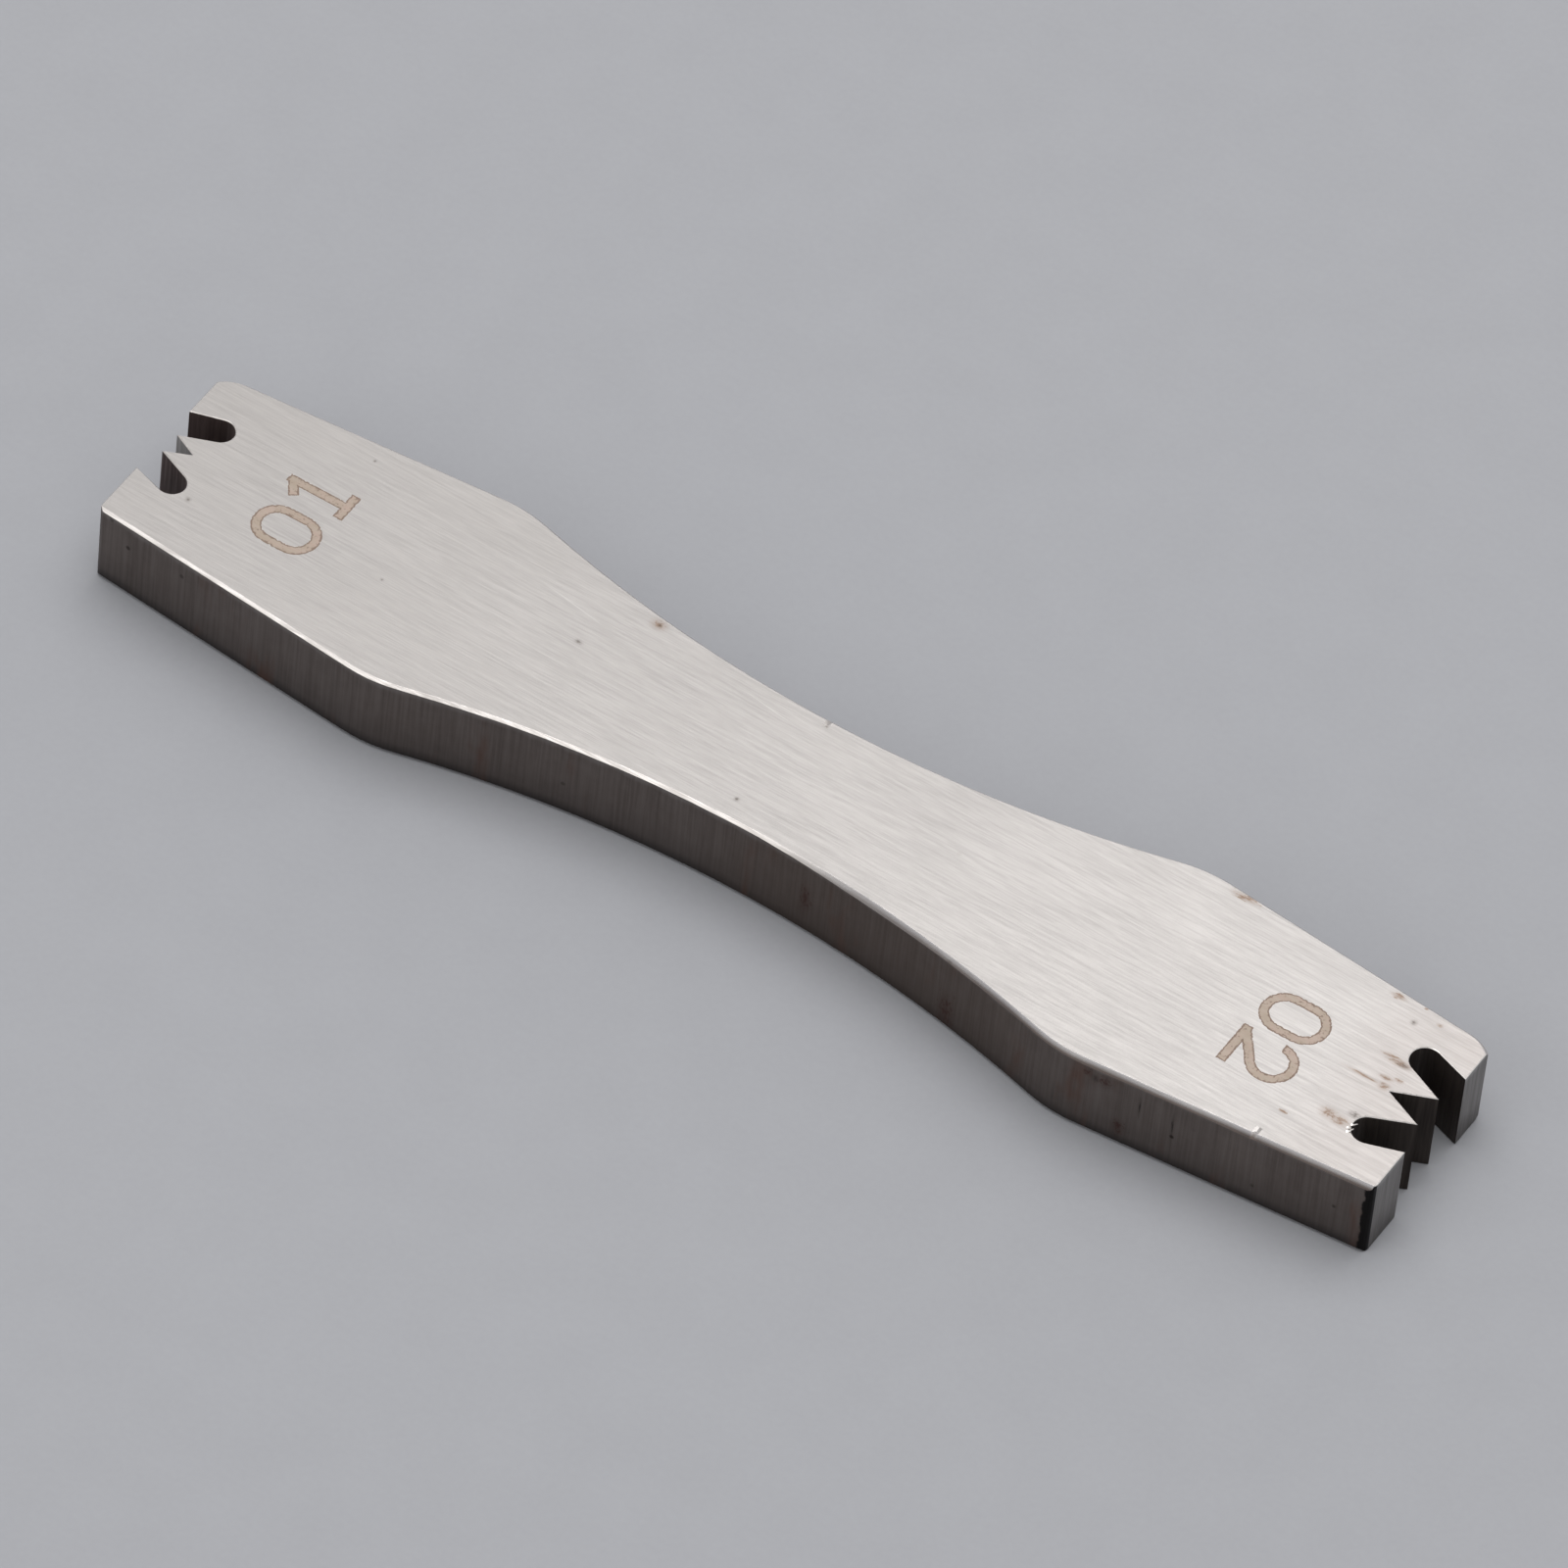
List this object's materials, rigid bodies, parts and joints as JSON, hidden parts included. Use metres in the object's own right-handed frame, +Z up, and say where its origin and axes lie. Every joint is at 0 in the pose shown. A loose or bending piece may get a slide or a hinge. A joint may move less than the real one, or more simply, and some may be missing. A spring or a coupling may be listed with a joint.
{
  "type": "case back opener",
  "caption": "Flat stainless steel hand wrench for watch case backs, narrowed at the middle, with a toothed mouth and diverging slots cut through each end.",
  "frame": {"origin": "centre of the bottom face", "axes": "+X along the length towards the larger mouth, +Y across the width, +Z up through the thickness, marked face on top"},
  "size_m": [0.075, 0.0142, 0.005],
  "materials": {
    "ground_steel": "stainless plate, top and bottom linished along the length, edges wire-cut and lightly deburred",
    "laser_oxide": "matt tan-brown oxide left by laser marking"
  },
  "bodies": {
    "root": {"opener_body": "ground_steel", "size_mark_large_end": "laser_oxide", "size_mark_small_end": "laser_oxide"}
  },
  "joints": []
}
